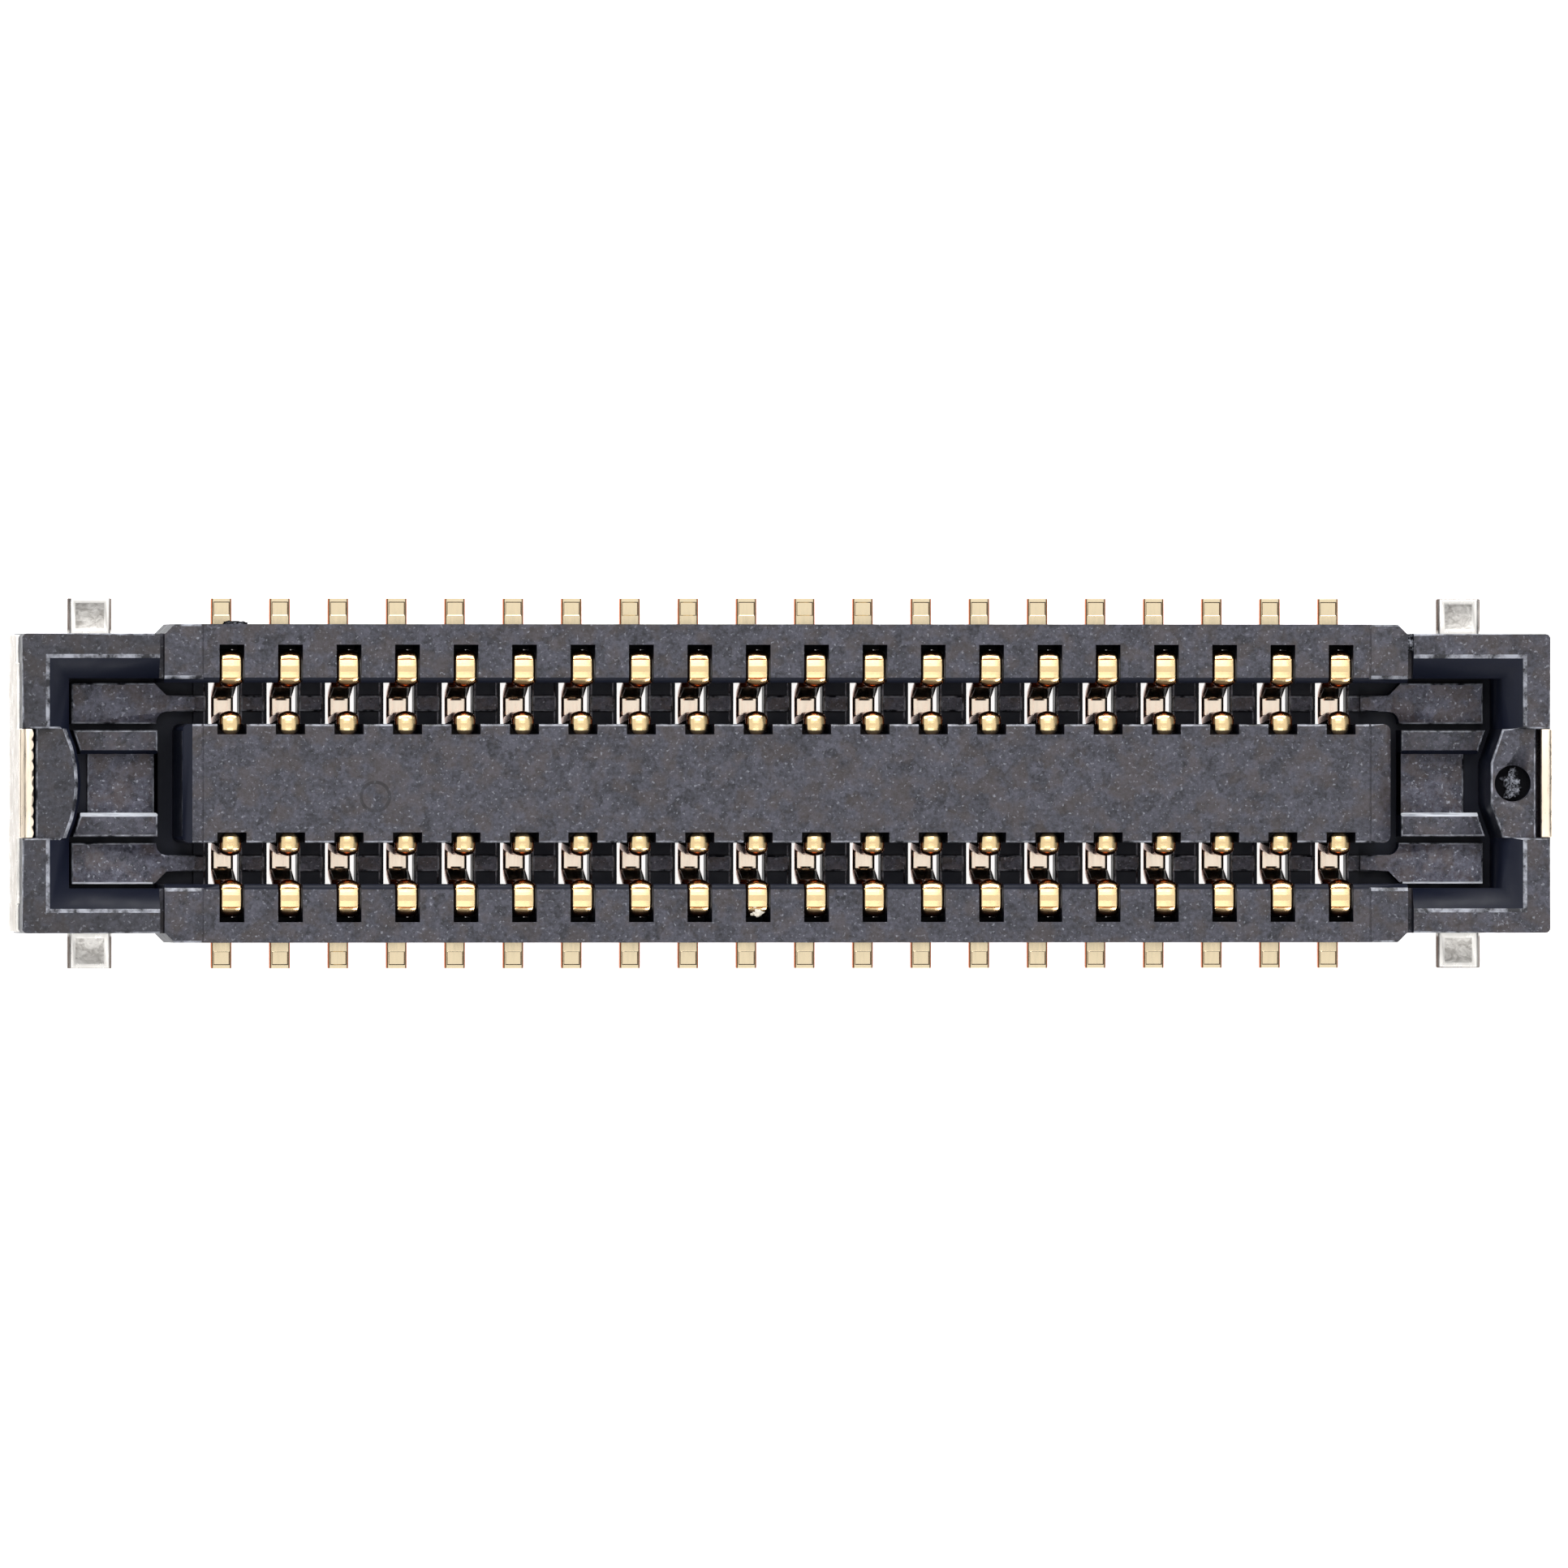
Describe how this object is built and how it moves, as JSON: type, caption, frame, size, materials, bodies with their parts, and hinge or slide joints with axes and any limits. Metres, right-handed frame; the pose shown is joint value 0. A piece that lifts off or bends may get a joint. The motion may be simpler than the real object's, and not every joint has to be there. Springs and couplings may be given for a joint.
{
  "type": "board to board connector",
  "caption": "Low rectangular board to board socket: moulded frame and middle island, rows of bent spring contacts in the mating groove, and a metal hold-down at each end.",
  "frame": {"origin": "middle of the connector on the board's surface, level with the solder tails' undersides", "axes": "+X along the contact rows, +Y across them, +Z out of the mating face"},
  "size_m": [0.0106, 0.0026, 0.0008],
  "materials": {
    "housing": "matte moulded liquid crystal polymer",
    "contact": "gold-plated copper alloy, satin",
    "hold_down": "tin-plated copper alloy, satin"
  },
  "bodies": {
    "root": {"housing": "housing", "contact_back_01": "contact", "contact_back_02": "contact", "contact_back_03": "contact", "contact_back_04": "contact", "contact_back_05": "contact", "contact_back_06": "contact", "contact_back_07": "contact", "contact_back_08": "contact", "contact_back_09": "contact", "contact_back_10": "contact", "contact_back_11": "contact", "contact_back_12": "contact", "contact_back_13": "contact", "contact_back_14": "contact", "contact_back_15": "contact", "contact_back_16": "contact", "contact_back_17": "contact", "contact_back_18": "contact", "contact_back_19": "contact", "contact_back_20": "contact", "contact_front_01": "contact", "contact_front_02": "contact", "contact_front_03": "contact", "contact_front_04": "contact", "contact_front_05": "contact", "contact_front_06": "contact", "contact_front_07": "contact", "contact_front_08": "contact", "contact_front_09": "contact", "contact_front_10": "contact", "contact_front_11": "contact", "contact_front_12": "contact", "contact_front_13": "contact", "contact_front_14": "contact", "contact_front_15": "contact", "contact_front_16": "contact", "contact_front_17": "contact", "contact_front_18": "contact", "contact_front_19": "contact", "contact_front_20": "contact", "hold_down_left": "hold_down", "hold_down_right": "hold_down"}
  },
  "joints": []
}
